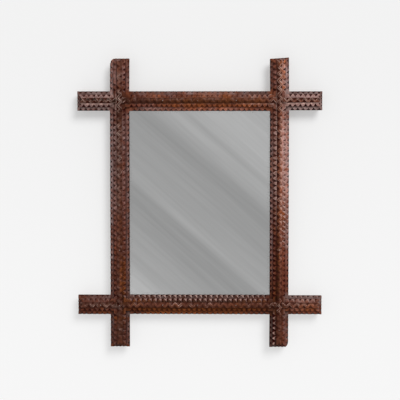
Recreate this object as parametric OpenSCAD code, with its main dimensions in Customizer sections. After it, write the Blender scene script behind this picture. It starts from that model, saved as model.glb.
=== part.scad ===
// Wall mirror in a tramp art frame, millimetres.
// Four members cross at the corners and run on past them as short horns. Each member is a
// plain back board with three notched layers pinned on it, every layer narrower than the
// one below, so that it rises in steps to a zigzag ridge.
// Everything is drawn lying on its back on the bench (x right, y up, z towards the viewer,
// z = 0 on the back face) and then stood up with the hanging ring's pivot at the origin,
// the front facing -Y.

/* [Opening] */
// width of mirror that shows between the stiles
sight_w = 281; // [200:1:400]
// height of mirror that shows between the rails
sight_h = 370; // [260:1:520]

/* [Members] */
// width of a member, over its lower layer
face_w = 37.5; // [32:0.5:60]
// length of a horn, from the crossing to its tip
horn_l = 65.5; // [30:0.5:110]

/* [Back frame] */
// thickness of the plain back boards
back_t = 14; // [12:0.5:22]
// overlap of the lower layer over the edge of the glass
rabbet = 6; // [4:0.5:9]
// how far the back boards stand in from the edges of the lower layer
back_in = 1; // [0.5:0.25:3]

/* [Layers] */
// thickness of the lower layer
lower_t = 6; // [4:0.5:10]
// width of the middle layer
middle_w = 26; // [22:0.5:32]
// thickness of the middle layer
middle_t = 6; // [4:0.5:10]
// how far the middle layer stops short of a horn's tip
middle_short = 5; // [4:0.5:10]
// width of the ridge layer
ridge_w = 10.5; // [9:0.5:14]
// thickness of the ridge layer
ridge_t = 5; // [3:0.5:8]
// how far the ridge stops short of the middle layer's end
ridge_short = 1; // [0.5:0.5:10]

/* [Chip carving] */
// spacing of the notches along the lower layer
lower_pitch = 10.4; // [8:0.1:14]
// reach of a lower layer notch across the face
lower_cut = 4; // [2.5:0.1:5.5]
// spacing of the notches along the middle layer
middle_pitch = 10; // [8:0.25:14]
// reach of a middle layer notch across the face
middle_cut = 5.6; // [3:0.1:7]
// spacing of the notches along the ridge, which alternate from side to side
ridge_pitch = 13.9; // [10:0.1:18]
// reach of a ridge notch across the face
ridge_cut = 7; // [3:0.1:8]
// spacing of the notches across a horn's tip
tip_pitch = 7; // [5:0.25:10]
// reach of a tip notch into the face
tip_cut = 4; // [2:0.1:4.5]
// flat left on the edge between two notches
land = 0.8; // [0.4:0.1:2]
// uncut wood left under the mouth of a notch
foot = 0.6; // [0.3:0.1:2]
// loss across the worn corner of the left stile's upper tip
loss_w = 8.8; // [2:0.1:14]
// loss down the worn corner of the left stile's upper tip
loss_h = 11.6; // [2:0.1:14]
// size of the chip off the outer corner of the right stile's lower tip
chip = 5; // [1:0.5:10]
// how far out of square the right stile's upper tip is sawn
tip_slant = 2.4; // [0.4:0.1:3]

/* [Mirror and backboard] */
// thickness of the mirror glass
glass_t = 3; // [2:0.25:5]
// thickness of the backboard
board_t = 5; // [3:0.5:7]
// play round the glass and the backboard in the back frame
glass_play = 1; // [0.5:0.25:2]

/* [Brads] */
// diameter of every brad
brad_d = 1.5; // [1:0.1:2]
// radial play of a brad or screw in its hole
brad_play = 0.05; // [0.02:0.01:0.1]
// length of a brad held in the back boards
brad_grip = 11; // [8:0.5:11.5]
// length of a backboard brad that stands out over the backboard
brad_show = 9; // [6:0.5:14]
// brads on each stile between the crossings
stile_brads = 3; // [1:1:7]
// brads on each rail between the crossings
rail_brads = 3; // [1:1:5]
// backboard brads along each stile
board_brads_side = 3; // [2:1:6]
// backboard brads along each rail
board_brads_end = 2; // [2:1:4]

/* [Hanger] */
// diameter of the ring's wire
wire_d = 2.4; // [1.6:0.1:3]
// radius of the ring's round end, to the middle of the wire
ring_r = 10.5; // [9:0.25:11]
// bend radius at the two shoulders of the ring
bend_r = 2.5; // [2:0.25:3]
// radial play of the ring in its knuckle
pivot_play = 0.05; // [0.02:0.01:0.1]
// gap between the hanging ring and the strap behind it
ring_gap = 0.35; // [0.2:0.05:1]
// thickness of the hanger strap's sheet
strap_t = 1.2; // [0.8:0.1:2]
// height of the hanger strap, which is also the diameter of its round ends
strap_h = 10; // [8:0.5:11]
// distance between the two hanger screws
screw_gap = 40; // [34:1:60]
// width of the knuckle rolled round the ring
knuckle_w = 12; // [8:0.5:13]
// diameter of a hanger screw's shank
screw_d = 3; // [2:0.1:4]
// diameter of a hanger screw's head
screw_head_d = 6; // [4:0.25:7]
// height of a hanger screw's head
screw_head_h = 1.8; // [1:0.1:2.5]
// length of a hanger screw under its head
screw_l = 10; // [6:0.5:11]

/* [Hidden] */
$fn = 64;
// distance from the middle of the opening to the middle of a stile
cross_x = (sight_w + face_w) / 2;
// distance from the middle of the opening to the middle of a rail
cross_y = (sight_h + face_w) / 2;
// half the overall width and half the overall height
tip_x = sight_w / 2 + face_w + horn_l;
tip_y = sight_h / 2 + face_w + horn_l;
// width of a back board and the distance from a member's middle to its board's middle
back_w = face_w - rabbet - back_in;
back_off = (rabbet - back_in) / 2;
// depth of the half lap where two back boards cross
lap_t = back_t / 2;
// one row for each layer: width, thickness, height off the bench, notch pitch, notch reach,
// shortfall at the tips
lower = [face_w, lower_t, back_t, lower_pitch, lower_cut, 0];
middle = [middle_w, middle_t, back_t + lower_t, middle_pitch, middle_cut, middle_short];
ridge = [ridge_w, ridge_t, back_t + lower_t + middle_t, ridge_pitch, ridge_cut,
    middle_short + ridge_short];
// height of the ridge's top off the bench
top_z = back_t + lower_t + middle_t + ridge_t;
// clear run kept at each end of a row of notches
row_end = 1.5;
// hole for a brad and room past its point
bore_d = brad_d + 2 * brad_play;
bore_past = 0.5;
// ring and knuckle
bore_r = wire_d / 2 + pivot_play;
knuckle_r = bore_r + strap_t;
pivot_off = strap_t + ring_gap + bore_r;
pivot_y = cross_y + back_off;
// neck between the knuckle and the broad part of the strap
neck = 0.5;
strap_y = pivot_y - knuckle_r - neck - strap_h / 2;
// height of the brads that lie on the backboard
board_brad_z = back_t - glass_t - board_t - brad_d / 2 - brad_play;
// length of a brad's point
point_l = 2;

function row_count(l, pitch) = floor((l - 2 * row_end) / pitch);
function row_x(i, n, pitch) = (i - (n - 1) / 2) * pitch;
// a staggered row has one notch more than the row facing it where that fits, else one fewer
function staggered(l, pitch) =
    (row_count(l, pitch) + 1) * pitch - land < l - 2 * row_end + 0.01 ? -1 : 1;
function clear_of(x, half, zones) =
    len([for (z = zones) if (abs(x - z[0]) < half + z[1]) 1]) == 0;
function row(l, pitch, fewer, zones) =
    let (n = row_count(l, pitch) - fewer)
    [for (i = [0 : 1 : n - 1])
        if (clear_of(row_x(i, n, pitch), pitch / 2, zones)) row_x(i, n, pitch)];
function comb(xs, half, rise, top) = concat(
    [for (x = xs, k = [-1, 0, 1]) [x + k * half, k == 0 ? 0 : rise]],
    [[xs[len(xs) - 1] + half, top], [xs[0] - half, top]]);
// a place along a strip where the zigzag crosses the middle of the ridge
function mid_zig(x) = (round(2 * x / ridge_pitch - 0.5) + 0.5) * ridge_pitch / 2;
function horn_len(k) = (face_w - k[0]) / 2 + horn_l - k[5];
function horn_mid(k) = cross_x + k[0] / 2 + horn_len(k) / 2;
function spread(n, span) = [for (i = [1 : n]) (i / (n + 1) - 0.5) * span];

// brads through the layers, as places on the bench
stile_ys = concat(
    [for (y = [cross_y, tip_y - horn_l / 2], s = [-1, 1]) s * mid_zig(y)],
    [for (y = spread(stile_brads, sight_h)) mid_zig(y)]);
rail_xs = [for (x = spread(rail_brads, sight_w)) mid_zig(x)];
horn_x = horn_mid(ridge) + mid_zig(0);
// brads over the backboard
side_ys = spread(board_brads_side, sight_h);
end_xs = spread(board_brads_end, sight_w);

module hang()
    rotate([90, 0, 0]) translate([0, -pivot_y, pivot_off]) children();

// One row of slanting V notches along the +y edge of a strip: each cut is an open triangle
// on the top face and runs down to nothing at the foot of the edge.
module notches(xs, w, t, pitch, cut) {
    fall = t - foot;
    slope = atan2(fall, cut);
    run = fall / sin(slope);
    rise = cut * sin(slope);
    over = rise + 0.15;
    half = (pitch - land) / 2 * over / rise;
    if (len(xs) > 0)
        translate([0, w / 2 - cut, t]) rotate([90 - slope, 0, 0]) translate([0, 0, -run - 2])
            linear_extrude(height = run + 4) polygon(comb(xs, half, over, rise + 4));
}

// A notched strip of layer k lying along x, its middle at the origin.
// zones are stretches of its edges left plain, tips says which ends are notched.
module strip(k, l, zones, tips) {
    w = k[0];
    t = k[1];
    fewer = k == ridge ? staggered(l, k[3]) : 0;
    difference() {
        translate([-l / 2, -w / 2, 0]) cube([l, w, t]);
        notches(row(l, k[3], 0, zones), w, t, k[3], k[4]);
        mirror([0, 1, 0]) notches(row(l, k[3], fewer, zones), w, t, k[3], k[4]);
        for (s = tips)
            rotate([0, 0, -90 * s]) notches(row(w, tip_pitch, 0, []), l, t, tip_pitch, tip_cut);
    }
}

module bores(k, spots)
    for (p = spots)
        translate([p[0], p[1], k[2] - 1]) cylinder(d = bore_d, h = k[1] + 2);

// Layer k of the stile on side s, running through both crossings. The lower layers are left
// plain where the rails butt against them, and the ridge's zigzag runs on.
module stile_layer(k, s)
    difference() {
        translate([s * cross_x, 0, k[2]]) rotate([0, 0, -90 * s])
            strip(k, 2 * (tip_y - k[5]),
                [for (c = [-1, 1]) if (k != ridge) [c * cross_y, k[0] / 2]], [-1, 1]);
        bores(k, [for (y = stile_ys) [s * cross_x, y]]);
    }

// Layer k of the rail at the top (v = 1) or bottom (v = -1), between the stiles.
module rail_layer(k, v)
    difference() {
        translate([0, v * cross_y, k[2]]) strip(k, sight_w + face_w - k[0], [], []);
        bores(k, [for (x = rail_xs) [x, v * cross_y]]);
    }

// Layer k of the horn on side s of the rail at v.
module horn_layer(k, s, v)
    difference() {
        translate([s * horn_mid(k), v * cross_y, k[2]]) strip(k, horn_len(k), [], [s]);
        bores(k, [[s * horn_x, v * cross_y]]);
    }

// A brad along +z with its point at the bottom.
module brad(l) {
    cylinder(d1 = 0.3, d2 = brad_d, h = point_l);
    translate([0, 0, point_l]) cylinder(d = brad_d, h = l - point_l);
}

// Holes for the layer brads in the back boards.
module pilot(x, y)
    translate([x, y, back_t - brad_grip - bore_past])
        cylinder(d = bore_d, h = brad_grip + bore_past + 1);

// A backboard brad or its hole, lying along +x from a back board's inner edge.
module board_brad(d, back)
    translate([-brad_grip - back, 0, board_brad_z]) rotate([0, 90, 0])
        cylinder(d = d, h = brad_grip + back + brad_show);

module side_brads(s, d, back)
    for (y = side_ys)
        translate([s * (sight_w / 2 + rabbet), y, 0]) rotate([0, 0, s > 0 ? 180 : 0])
            board_brad(d, back);

module end_brads(v, d, back)
    for (x = end_xs)
        translate([x, v * (sight_h / 2 + rabbet), 0]) rotate([0, 0, -90 * v])
            board_brad(d, back);

module back_stile(s)
    difference() {
        translate([s * (cross_x + back_off) - back_w / 2, -tip_y + back_in, 0])
            cube([back_w, 2 * (tip_y - back_in), back_t]);
        for (v = [-1, 1])
            translate([s * cross_x - face_w, v * pivot_y - back_w / 2, -1])
                cube([2 * face_w, back_w, lap_t + 1]);
        for (y = stile_ys)
            pilot(s * cross_x, y);
        side_brads(s, bore_d, bore_past);
    }

module back_rail(v)
    difference() {
        translate([-tip_x + back_in, v * pivot_y - back_w / 2, 0])
            cube([2 * (tip_x - back_in), back_w, back_t]);
        for (s = [-1, 1]) {
            translate([s * (cross_x + back_off) - back_w / 2, v * cross_y - face_w, lap_t])
                cube([back_w, 2 * face_w, back_t]);
            pilot(s * cross_x, v * mid_zig(cross_y));
            pilot(s * horn_x, v * cross_y);
        }
        for (x = rail_xs)
            pilot(x, v * cross_y);
        end_brads(v, bore_d, bore_past);
    }

// The corner worn off the left stile's upper tip, through its lower layer and back board.
module worn_corner()
    translate([-cross_x - face_w / 2, tip_y, -1])
        linear_extrude(height = back_t + lower_t + 2)
            polygon([[-1, 1], [loss_w, 1], [loss_w, 0], [0.42 * loss_w, -0.42 * loss_h],
                [0, -loss_h], [-1, -loss_h]]);

// The corner chipped off the right stile's lower tip, through the same two.
module chipped_corner()
    translate([cross_x + face_w / 2, -tip_y, -1])
        linear_extrude(height = back_t + lower_t + 2)
            polygon([[1, -1], [1, 1.4 * chip], [0, 1.4 * chip], [-0.3 * chip, 0.5 * chip],
                [-chip, 0], [-chip, -1]]);

// What is missing where the right stile's upper tip is sawn out of square, in from the tip.
module sawn_tip(in)
    translate([cross_x - face_w / 2, tip_y - in, -1])
        linear_extrude(height = back_t + lower_t + 2)
            polygon([[-1, 2], [face_w + 1, 2], [face_w + 1, 0], [face_w, 0], [0, -tip_slant],
                [-1, -tip_slant]]);

module back_left_stile() color("#6b4a35") hang()
    difference() {
        back_stile(-1);
        worn_corner();
    }
module back_right_stile() color("#6b4a35") hang()
    difference() {
        back_stile(1);
        chipped_corner();
        sawn_tip(back_in);
    }
module back_bottom_rail() color("#6b4a35") hang() back_rail(-1);
module back_top_rail() color("#6b4a35") hang()
    difference() {
        back_rail(1);
        for (s = [-1, 1])
            translate([s * screw_gap / 2, strap_y, -1])
                cylinder(d = screw_d + 2 * brad_play, h = screw_l - strap_t + bore_past + 1);
    }

module lower_left_stile() color("#5a3324") hang()
    difference() {
        stile_layer(lower, -1);
        worn_corner();
    }
module lower_right_stile() color("#5a3324") hang()
    difference() {
        stile_layer(lower, 1);
        chipped_corner();
        sawn_tip(0);
    }
module lower_top_rail() color("#5a3324") hang() rail_layer(lower, 1);
module lower_bottom_rail() color("#5a3324") hang() rail_layer(lower, -1);
module lower_top_left_horn() color("#5a3324") hang() horn_layer(lower, -1, 1);
module lower_top_right_horn() color("#5a3324") hang() horn_layer(lower, 1, 1);
module lower_bottom_left_horn() color("#5a3324") hang() horn_layer(lower, -1, -1);
module lower_bottom_right_horn() color("#5a3324") hang() horn_layer(lower, 1, -1);

module middle_left_stile() color("#70432f") hang() stile_layer(middle, -1);
module middle_right_stile() color("#70432f") hang() stile_layer(middle, 1);
module middle_top_rail() color("#70432f") hang() rail_layer(middle, 1);
module middle_bottom_rail() color("#70432f") hang() rail_layer(middle, -1);
module middle_top_left_horn() color("#70432f") hang() horn_layer(middle, -1, 1);
module middle_top_right_horn() color("#70432f") hang() horn_layer(middle, 1, 1);
module middle_bottom_left_horn() color("#70432f") hang() horn_layer(middle, -1, -1);
module middle_bottom_right_horn() color("#70432f") hang() horn_layer(middle, 1, -1);

module ridge_left_stile() color("#84543b") hang() stile_layer(ridge, -1);
module ridge_right_stile() color("#84543b") hang() stile_layer(ridge, 1);
module ridge_top_rail() color("#84543b") hang() rail_layer(ridge, 1);
module ridge_bottom_rail() color("#84543b") hang() rail_layer(ridge, -1);
module ridge_top_left_horn() color("#84543b") hang() horn_layer(ridge, -1, 1);
module ridge_top_right_horn() color("#84543b") hang() horn_layer(ridge, 1, 1);
module ridge_bottom_left_horn() color("#84543b") hang() horn_layer(ridge, -1, -1);
module ridge_bottom_right_horn() color("#84543b") hang() horn_layer(ridge, 1, -1);

module mirror_glass() color("#b9bdc0") hang()
    translate([0, 0, back_t - glass_t / 2])
        cube([sight_w + 2 * (rabbet - glass_play), sight_h + 2 * (rabbet - glass_play), glass_t],
            center = true);

module backboard() color("#a58a66") hang()
    translate([0, 0, back_t - glass_t - board_t / 2])
        cube([sight_w + 2 * (rabbet - glass_play), sight_h + 2 * (rabbet - glass_play), board_t],
            center = true);

module backboard_brads() color("#4a4640") hang() {
    for (s = [-1, 1])
        side_brads(s, brad_d, 0);
    for (v = [-1, 1])
        end_brads(v, brad_d, 0);
}

module layer_brads() color("#4a4640") hang()
    translate([0, 0, back_t - brad_grip]) {
        for (s = [-1, 1], y = stile_ys)
            translate([s * cross_x, y, 0]) brad(top_z - back_t + brad_grip);
        for (v = [-1, 1], x = concat(rail_xs, [-horn_x, horn_x]))
            translate([x, v * cross_y, 0]) brad(top_z - back_t + brad_grip);
    }

module hanger_strap() color("#8a7645") hang()
    difference() {
        union() {
            translate([-screw_gap / 2, strap_y - strap_h / 2, -strap_t])
                cube([screw_gap, strap_h, strap_t]);
            for (s = [-1, 1])
                translate([s * screw_gap / 2, strap_y, -strap_t])
                    cylinder(d = strap_h, h = strap_t);
            translate([-knuckle_w / 2, strap_y, -strap_t])
                cube([knuckle_w, pivot_y - strap_y, strap_t]);
            translate([-knuckle_w / 2, pivot_y, -pivot_off]) rotate([0, 90, 0])
                cylinder(r = knuckle_r, h = knuckle_w);
        }
        translate([-knuckle_w / 2 - 1, pivot_y, -pivot_off]) rotate([0, 90, 0])
            cylinder(r = bore_r, h = knuckle_w + 2);
        for (s = [-1, 1])
            translate([s * screw_gap / 2, strap_y, -strap_t - 1])
                cylinder(d = screw_d + 2 * brad_play, h = strap_t + 2);
    }

module hanging_ring() color("#8a7645") hang()
    translate([0, pivot_y, -pivot_off]) {
        rotate([0, 90, 0]) cylinder(d = wire_d, h = 2 * (ring_r - bend_r), center = true);
        for (s = [0, 1])
            mirror([s, 0, 0]) translate([ring_r - bend_r, -bend_r, 0])
                rotate_extrude(angle = 90) translate([bend_r, 0]) circle(d = wire_d);
        translate([0, -bend_r, 0]) rotate([0, 0, 180])
            rotate_extrude(angle = 180) translate([ring_r, 0]) circle(d = wire_d);
    }

module hanger_screws() color("#4a4640") hang()
    for (s = [-1, 1])
        translate([s * screw_gap / 2, strap_y, -strap_t])
            difference() {
                union() {
                    cylinder(d = screw_d, h = screw_l);
                    translate([0, 0, -screw_head_h]) cylinder(d = screw_head_d, h = screw_head_h);
                }
                translate([-screw_head_d, -0.4, -screw_head_h - 1])
                    cube([2 * screw_head_d, 0.8, 1.8]);
            }

back_left_stile();
back_right_stile();
back_top_rail();
back_bottom_rail();
lower_left_stile();
lower_right_stile();
lower_top_rail();
lower_bottom_rail();
lower_top_left_horn();
lower_top_right_horn();
lower_bottom_left_horn();
lower_bottom_right_horn();
middle_left_stile();
middle_right_stile();
middle_top_rail();
middle_bottom_rail();
middle_top_left_horn();
middle_top_right_horn();
middle_bottom_left_horn();
middle_bottom_right_horn();
ridge_left_stile();
ridge_right_stile();
ridge_top_rail();
ridge_bottom_rail();
ridge_top_left_horn();
ridge_top_right_horn();
ridge_bottom_left_horn();
ridge_bottom_right_horn();
mirror_glass();
backboard();
backboard_brads();
layer_brads();
hanger_strap();
hanging_ring();
hanger_screws();
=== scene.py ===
import math

import bpy
import numpy as np
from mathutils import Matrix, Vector


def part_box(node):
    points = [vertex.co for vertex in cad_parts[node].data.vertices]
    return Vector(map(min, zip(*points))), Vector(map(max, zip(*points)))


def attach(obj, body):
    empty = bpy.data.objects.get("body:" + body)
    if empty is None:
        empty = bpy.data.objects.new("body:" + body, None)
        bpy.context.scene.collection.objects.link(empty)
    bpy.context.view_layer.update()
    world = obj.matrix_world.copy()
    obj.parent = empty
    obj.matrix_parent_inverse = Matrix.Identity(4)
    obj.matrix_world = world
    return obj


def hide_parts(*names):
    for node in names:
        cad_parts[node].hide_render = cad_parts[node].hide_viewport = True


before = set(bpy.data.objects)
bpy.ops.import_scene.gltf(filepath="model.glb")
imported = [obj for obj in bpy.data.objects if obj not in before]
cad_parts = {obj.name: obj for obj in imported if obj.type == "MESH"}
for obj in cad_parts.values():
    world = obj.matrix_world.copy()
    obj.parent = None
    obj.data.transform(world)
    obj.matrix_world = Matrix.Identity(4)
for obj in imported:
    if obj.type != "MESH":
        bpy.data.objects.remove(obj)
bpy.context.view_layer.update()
scene = bpy.context.scene
scene.view_settings.view_transform = "Standard"

# ---------------------------------------------------------------- sizes, in millimetres
# The strips take their lengths, widths and places from the solids they stand for.
MIDDLE_Z = -206.25        # height of the middle of the opening
CROSSING = 203.75         # from the middle of the opening to the middle of a rail
ROW_END = 1.5             # clear run at each end of a row of notches
LAND = 0.8                # edge left between two notches
FOOT = 0.6                # uncut wood under the mouth of a notch
TIP_PITCH, TIP_CUT = 7.0, 4.0   # spacing and reach of the notches across a tip
GRID_STEP = 3.0           # widest step of the grid along a strip
# Hand cutting: how far a notch and its valley stray, in parts of the spacing, and the shares
# between which the width, the depth and the wood under it vary.
STRAY, VALLEY_STRAY = 0.016, 0.035
WIDTHS, DEPTHS, FEET = (0.93, 1.0), (0.9, 1.04), (0.6, 2.2)
WEAR, WEAR_WAVES = 0.45, (23.0, 61.0, 9.0)   # how far an arris varies, and over what lengths
SAWN = 0.55               # how far a sawn edge is shaded like a knife cut
LAYERS = {
    "lower": {"pitch": 10.4, "cut": 5.2, "arris": 0.45, "edges": (0.5, 0.5)},
    "middle": {"pitch": 10.0, "cut": 6.4, "arris": 0.6, "edges": (-0.75, -0.75)},
    "ridge": {"pitch": 13.9, "cut": 7.0, "arris": 0.8, "edges": (0.0, 0.0)},
}
# How far a strip's long edges are drawn outside its solid's, where that differs from its layer: the
# inner and outer edge of a stile, the low and high edge of a rail or horn.
EDGES = {
    "lower_left_stile": (0.4, 0.5), "lower_right_stile": (-0.3, 0.5),
    "lower_top_rail": (1.0, 0.5), "lower_bottom_rail": (0.8, 0.2),
    "lower_top_right_horn": (-0.3, 0.2), "lower_bottom_right_horn": (0.5, -0.2),
    "lower_bottom_left_horn": (1.3, 0.2), "middle_left_stile": (-1.5, -0.75),
    "middle_top_right_horn": (-1.75, 0.25), "ridge_top_rail": (-0.8, 0.8),
    "ridge_top_left_horn": (-0.8, 0.6), "ridge_top_right_horn": (-2.0, 0.6),
}
# How much longer a strip is drawn than its solid, at its low or left end and at its other end.
LONGER = {"right_stile": (1.2, 1.6), "left_stile": (1.1, 0.0), "bottom_right_horn": (0.0, 1.3),
          "top_right_horn": (0.0, 0.7)}
# How far the low and high horn of a stile lean in towards the opening.
LEAN = {"left_stile": (0.0, 0.7), "right_stile": (0.4, 0.7)}
# How deep, against its layer's, the two rows of a strip are cut: on the high edge of a rail or horn
# or the outer edge of a stile, and on the other edge.
DEEPER = {"middle_bottom_rail": (1.08, 1.0), "middle_right_stile": (1.0, 1.25),
          "ridge_right_stile": (0.85, 1.15)}
TIP_RUN, LEAN_RUN = 24.0, 75.0   # how far from its tip a strip is drawn longer, and a horn leans
OUT_OF_SQUARE = 2.4       # slant of the right stile's upper tip
# Corners lost from the lower layer: how far along, how far across, and the power of the curve.
ROUNDED_CORNER, CHIPPED_CORNER = (12.6, 9.4, 2.0), (7.0, 5.0, 1.2)
# Notches worn faint near the left stile's upper tip: how far up, over what reach, by what share.
FAINT_PLACE, FAINT_REACH, FAINT_SHARE = 253.0, 11.0, 0.85
# The patina across a member: where its sunny half and its two rims begin, and how softly.
SUNNY_START, SUNNY_RUN, RIM_START, RIM_RUN = -1.0, 3.0, 8.0, 2.0
TONE_RISE, LEAST_TONE = 0.00025, 0.1   # painted light: how much the tone rises for each millimetre up, lighter towards the lamp above
STRIP_TONES, GRAIN_SHIFT = (0.95, 1.05), 3000.0   # how strips differ in tone and in grain
FIRST_SEED = 40
LENGTHS = ["left_stile", "right_stile", "top_rail", "bottom_rail", "top_left_horn",
           "top_right_horn", "bottom_left_horn", "bottom_right_horn"]


# ---------------------------------------------------------------- shapes
def ripple(x, rng, lengths):
    """Sum of sine waves of the given lengths with random phases, scaled to run from -1 to 1."""
    waves = [np.sin(2 * np.pi * x / wave + rng.uniform(0, 2 * np.pi)) for wave in lengths]
    return sum(waves) / len(waves)


def knife_row(rng, span, pitch, cut, thick, plain=(), fade=None, staggered=False):
    """One row of hand-cut V notches along an edge: as many as fit, evenly spaced about the middle,
    less those on a plain stretch, each shifted, skewed and deepened a little. A staggered row has
    one notch more than that where it fits, else one fewer. Returns the places along the edge
    (mouth, valley, mouth for each notch), the reach in from the edge at each place, and the height
    of the edge left there."""
    room = span - 2 * ROW_END
    count = int(room / pitch + 1e-6)
    if staggered:
        count += 1 if (count + 1) * pitch - LAND < room + 0.01 else -1
    x = (np.arange(count) - (count - 1) / 2) * pitch
    for spot, clear in plain:
        x = x[np.abs(x - spot) >= pitch / 2 + clear]
    count = len(x)
    half = (pitch - LAND) / 2 * rng.uniform(*WIDTHS, count)
    x = x + rng.normal(0, STRAY * pitch, count)
    depth = rng.uniform(*DEPTHS, count)
    if fade is not None:
        depth = depth * fade(x)
    valley = x + rng.normal(0, VALLEY_STRAY * pitch, count)
    foot = FOOT * rng.uniform(*FEET, count)
    none = np.zeros(count)
    place = np.maximum.accumulate(np.stack([x - half, valley, x + half], 1).ravel())
    reach = np.stack([none, cut * depth, none], 1).ravel()
    edge = np.stack([none, (foot - thick) * np.minimum(depth, 1), none], 1).ravel() + thick
    return place, reach, edge


def no_row(thick):
    """An edge with no notches, in the same form as knife_row."""
    return np.zeros(1), np.zeros(1), np.full(1, thick)


def strip_surface(rng, length, width, thick, rows, tips, arris):
    """A notched strip as one closed grid in (along, across, height). Its cross-section is a loop of
    points: foot of the edge, edge, just under the arris, just inside the arris, the flat top, and
    the same again on the other edge, then back along the bottom. The section is carried along the
    strip; the edge and arris points follow the rows of notches by straight interpolation, so every
    notch is two flat facets. At the tips the same profile runs round the end. Returns the three
    coordinate grids and two grids per face: how far it is a cut, and how far it is an arris."""
    half_l, half_w = length / 2, width / 2
    even = np.linspace(-1, 1, int(length / GRID_STEP) + 2) * half_l
    u = np.concatenate([rows[0][0], rows[1][0], even])
    u = np.unique(np.round(np.clip(u, arris - half_l, half_l - arris), 2))
    columns = np.unique(np.round(np.concatenate([tips[0][0], tips[1][0], [0.0]]), 2))[::-1]
    count, wide = len(u), len(columns)

    def edge_points(row):
        worn = arris * (1 + WEAR * ripple(u, rng, WEAR_WAVES))
        worn[[0, -1]] = arris
        reach = np.interp(u, row[0], row[1])
        fall = np.maximum(thick - np.interp(u, row[0], row[2]), worn)
        slope = np.hypot(reach, fall)
        across = half_w - np.stack([0 * u, 0 * u, reach - worn * reach / slope, reach + worn], 1)
        height = np.stack([0 * u, thick - fall, thick - worn * fall / slope, 0 * u + thick], 1)
        return across, height

    def tip_points(tip):
        reach = np.interp(columns, tip[0], tip[1])
        fall = np.maximum(thick - np.interp(columns, tip[0], tip[2]), arris)
        slope = np.hypot(reach, fall)
        inward = np.stack([reach - arris * reach / slope, 0 * columns, 0 * columns])
        height = np.stack([thick - arris * fall / slope, thick - fall, 0 * columns])
        return reach + arris, inward, height

    (v0, h0), (v1, h1) = edge_points(rows[0]), edge_points(rows[1])
    top = np.clip(columns[None], -v1[:, 3:], v0[:, 3:])
    flat = np.zeros((count, wide))
    body_v = np.hstack([v0, top, -v1[:, ::-1], top[:, ::-1]])
    body_h = np.hstack([h0, flat + thick, h1[:, ::-1], flat])
    (in0, run0, rise0), (in1, run1, rise1) = tip_points(tips[0]), tip_points(tips[1])
    along_top = np.clip(u[:, None], in0[None] - half_l, half_l - in1[None])
    rim = np.repeat(u[:, None], 4, 1)
    body_u = np.hstack([rim, along_top, rim, flat + u[:, None]])

    def end_rows(run, rise, sign):
        corner_h = np.array([[0, 1, 1, 1], [0, 1, 1, 1], [0, 0, 0, 0]]) * (thick - arris)
        corner_v = np.full((3, 4), half_w - arris)
        end_u = np.hstack([np.zeros((3, 4)), run, np.zeros((3, 4 + wide))])
        end_v = np.hstack([corner_v, np.repeat(columns[None], 3, 0), -corner_v,
                           np.repeat(columns[None, ::-1], 3, 0)])
        end_h = np.hstack([corner_h, rise, corner_h[:, ::-1], np.zeros((3, wide))])
        return sign * (half_l - end_u), end_v, end_h

    low, high = end_rows(run0, rise0, -1), end_rows(run1, rise1, 1)
    grid = [np.vstack([a[::-1], b, c]) for a, b, c in zip(low, (body_u, body_v, body_h), high)]

    def per_face(edge, under):
        section = edge + [0.0] * (wide + 1) + edge[::-1] + [under] * (wide + 1)
        return np.tile(section, (count + 5, 1))

    edge_cut, edge_arris = [SAWN, 1.0, 0.0], [0.0, 0.0, 1.0]
    cut, line = per_face(edge_cut, SAWN), per_face(edge_arris, 0.0)
    over = slice(3, wide + 4)
    for row, values in enumerate(zip(edge_cut, edge_arris)):
        for end_row in (row, -1 - row):
            cut[end_row, over], line[end_row, over] = values
    return grid, cut, line


def closed_quads(rows, columns, flip=False):
    """Corner numbers of the faces of a grid that is closed in its second direction."""
    i, j = np.meshgrid(np.arange(rows - 1), np.arange(columns), indexing="ij")
    k = (j + 1) % columns
    here, after = i * columns, (i + 1) * columns
    faces = np.stack([here + j, here + k, after + k, after + j], -1).reshape(-1, 4)
    return faces[:, ::-1] if flip else faces


def make_piece(name, points, faces, material, per_point=None, per_face=None):
    """A mesh object from an array of points, in metres, and an array of four-cornered faces. Points
    that fall together are joined, a face with two joined corners becomes a triangle, and a face
    with no area left is dropped."""
    _, first, same = np.unique(np.round(points, 8), axis=0, return_index=True, return_inverse=True)
    quads = same.reshape(-1)[faces]
    after = np.roll(quads, -1, 1)
    repeat = quads == after
    loose = repeat.sum(1)
    cross = (quads[:, 0] == quads[:, 2]) | (quads[:, 1] == quads[:, 3])
    four, three = np.flatnonzero((loose == 0) & ~cross), np.flatnonzero((loose == 1) & ~cross)
    start = (repeat[three].argmax(1)[:, None] + 1 + np.arange(3)) % 4
    triangles = np.take_along_axis(quads[three], start, 1)
    mesh = bpy.data.meshes.new(name)
    mesh.from_pydata(points[first].tolist(), [], quads[four].tolist() + triangles.tolist())
    for key, values in (per_point or {}).items():
        kind = "FLOAT_VECTOR" if values.ndim == 2 else "FLOAT"
        layer = mesh.attributes.new(key, kind, "POINT")
        layer.data.foreach_set("vector" if values.ndim == 2 else "value",
                               values[first].astype(np.float32).ravel())
    for key, values in (per_face or {}).items():
        layer = mesh.attributes.new(key, "FLOAT", "FACE")
        layer.data.foreach_set("value", values[np.concatenate([four, three])].astype(np.float32))
    mesh.materials.append(material)
    mesh.update()
    piece = bpy.data.objects.new(name, mesh)
    scene.collection.objects.link(piece)
    return piece


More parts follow.
